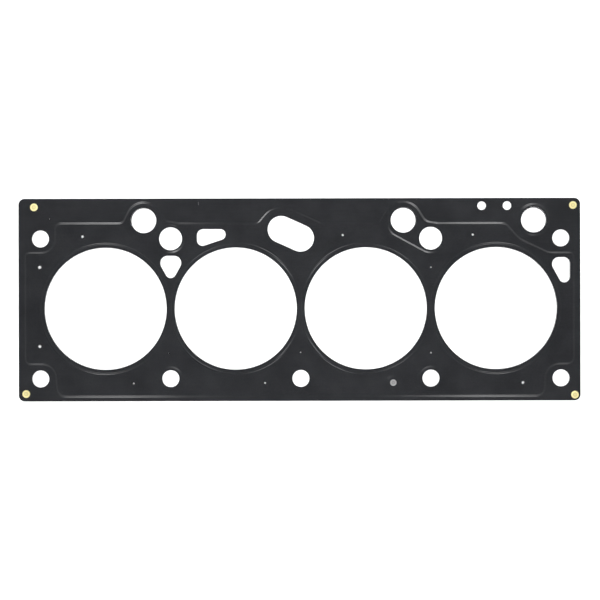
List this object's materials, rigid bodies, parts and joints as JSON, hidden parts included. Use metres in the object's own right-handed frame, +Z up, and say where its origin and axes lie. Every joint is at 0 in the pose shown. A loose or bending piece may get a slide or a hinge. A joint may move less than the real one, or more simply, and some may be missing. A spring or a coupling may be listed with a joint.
{
  "type": "cylinder head gasket",
  "caption": "Multi-layer steel cylinder head gasket for an in-line engine: stacked embossed sheets with cylinder, bolt, oil and coolant openings, held by rivets.",
  "frame": {"origin": "centre of the gasket's outline, on the plane that the loose gasket rests on", "axes": "+X along the row of cylinders, towards the end with the two small oil feed holes; +Y towards the side with the oil passages; +Z up through the sheets, towards the cylinder head"},
  "size_m": [0.3964, 0.143, 0.0014],
  "materials": {
    "coated_steel": "thin satin charcoal rubber coating on spring steel",
    "bare_steel": "rolled, bare at the cut edges",
    "brass": "bright",
    "rivet_steel": "dull plain steel"
  },
  "bodies": {
    "root": {"upper_sheet": "coated_steel", "lower_sheet": "coated_steel", "centre_sheet": "bare_steel", "stopper_ring_1": "bare_steel", "stopper_ring_2": "bare_steel", "stopper_ring_3": "bare_steel", "stopper_ring_4": "bare_steel", "corner_rivet_back_left": "brass", "corner_rivet_back_right": "brass", "corner_rivet_front_left": "brass", "corner_rivet_front_right": "brass", "seam_rivet": "rivet_steel"}
  },
  "joints": []
}
